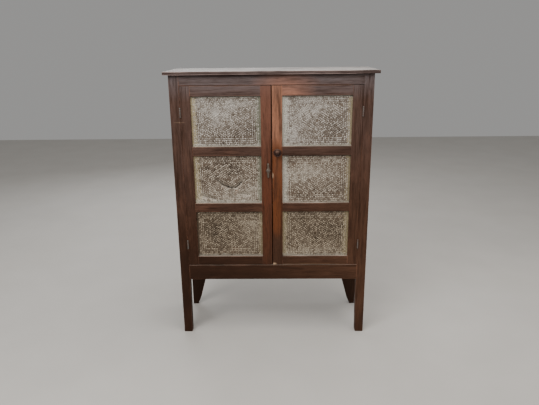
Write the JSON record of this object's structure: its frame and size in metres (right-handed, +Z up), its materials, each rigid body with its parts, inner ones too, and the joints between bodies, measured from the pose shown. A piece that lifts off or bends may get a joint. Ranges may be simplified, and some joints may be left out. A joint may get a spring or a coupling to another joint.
{
  "type": "pie safe cupboard",
  "caption": "Dark wooden pie safe on four legs, with punched tin panels in two hinged doors, shelves inside, a turned knob and a turn button.",
  "frame": {"origin": "on the floor, at the middle of the overall box in plan", "axes": "+X to the viewer's right when facing the doors, +Y to the back, +Z up; the doors face -Y"},
  "size_m": [1.034, 0.377, 1.408],
  "materials": {
    "frame_wood": "worn dark brown stain",
    "top_wood": "weathered grey-brown",
    "inner_wood": "bare, aged",
    "knob_wood": "worn dark brown, turned",
    "tin": "old cream paint rubbed down to dull, rusty tinplate",
    "iron": "dark, rusted, matt"
  },
  "bodies": {
    "case": {"top_board": "top_wood", "top_nails": "iron", "front_post_left": "frame_wood", "front_post_right": "frame_wood", "rear_leg_left": "frame_wood", "rear_leg_right": "frame_wood", "front_top_rail": "frame_wood", "front_bottom_rail": "frame_wood", "side_top_rail_left": "frame_wood", "side_top_rail_right": "frame_wood", "side_bottom_rail_left": "frame_wood", "side_bottom_rail_right": "frame_wood", "side_panel_left": "frame_wood", "side_panel_right": "frame_wood", "back_top_rail": "inner_wood", "back_bottom_rail": "inner_wood", "back_board_1": "inner_wood", "back_board_2": "inner_wood", "back_board_3": "inner_wood", "back_board_4": "inner_wood", "floor_board": "inner_wood", "floor_cleats": "inner_wood", "lower_shelf": "inner_wood", "upper_shelf": "inner_wood", "shelf_cleats": "inner_wood", "left_case_leaves": "iron", "right_case_leaves": "iron", "left_hinge_pins": "iron", "right_hinge_pins": "iron", "case_hinge_screws": "iron"},
    "left_door": {"left_hinge_stile": "frame_wood", "left_meeting_stile": "frame_wood", "left_top_rail": "frame_wood", "left_upper_rail": "frame_wood", "left_lower_rail": "frame_wood", "left_bottom_rail": "frame_wood", "left_tin_top": "tin", "left_tin_middle": "tin", "left_tin_bottom": "tin", "left_tin_tacks": "iron", "left_door_leaves": "iron", "left_door_hinge_screws": "iron", "turn_button_screw": "iron"},
    "right_door": {"right_hinge_stile": "frame_wood", "right_meeting_stile": "frame_wood", "right_top_rail": "frame_wood", "right_upper_rail": "frame_wood", "right_lower_rail": "frame_wood", "right_bottom_rail": "frame_wood", "right_tin_top": "tin", "right_tin_middle": "tin", "right_tin_bottom": "tin", "right_tin_tacks": "iron", "right_door_leaves": "iron", "right_door_hinge_screws": "iron", "knob": "knob_wood", "knob_screw": "iron"},
    "latch": {"turn_button": "iron"}
  },
  "joints": [
    {"name": "left_door_swing", "type": "hinge", "parent": "case", "child": "left_door", "pos_m": [-0.44625, -0.1603, 0.872], "axis": [0, 0, -1], "range_deg": [0, 165]},
    {"name": "right_door_swing", "type": "hinge", "parent": "case", "child": "right_door", "pos_m": [0.44625, -0.1603, 0.872], "axis": [0, 0, 1], "range_deg": [0, 165]},
    {"name": "turn_button_spin", "type": "hinge", "parent": "left_door", "child": "latch", "pos_m": [-0.0185, -0.1615, 0.92], "axis": [0, -1, 0], "continuous": true}
  ]
}
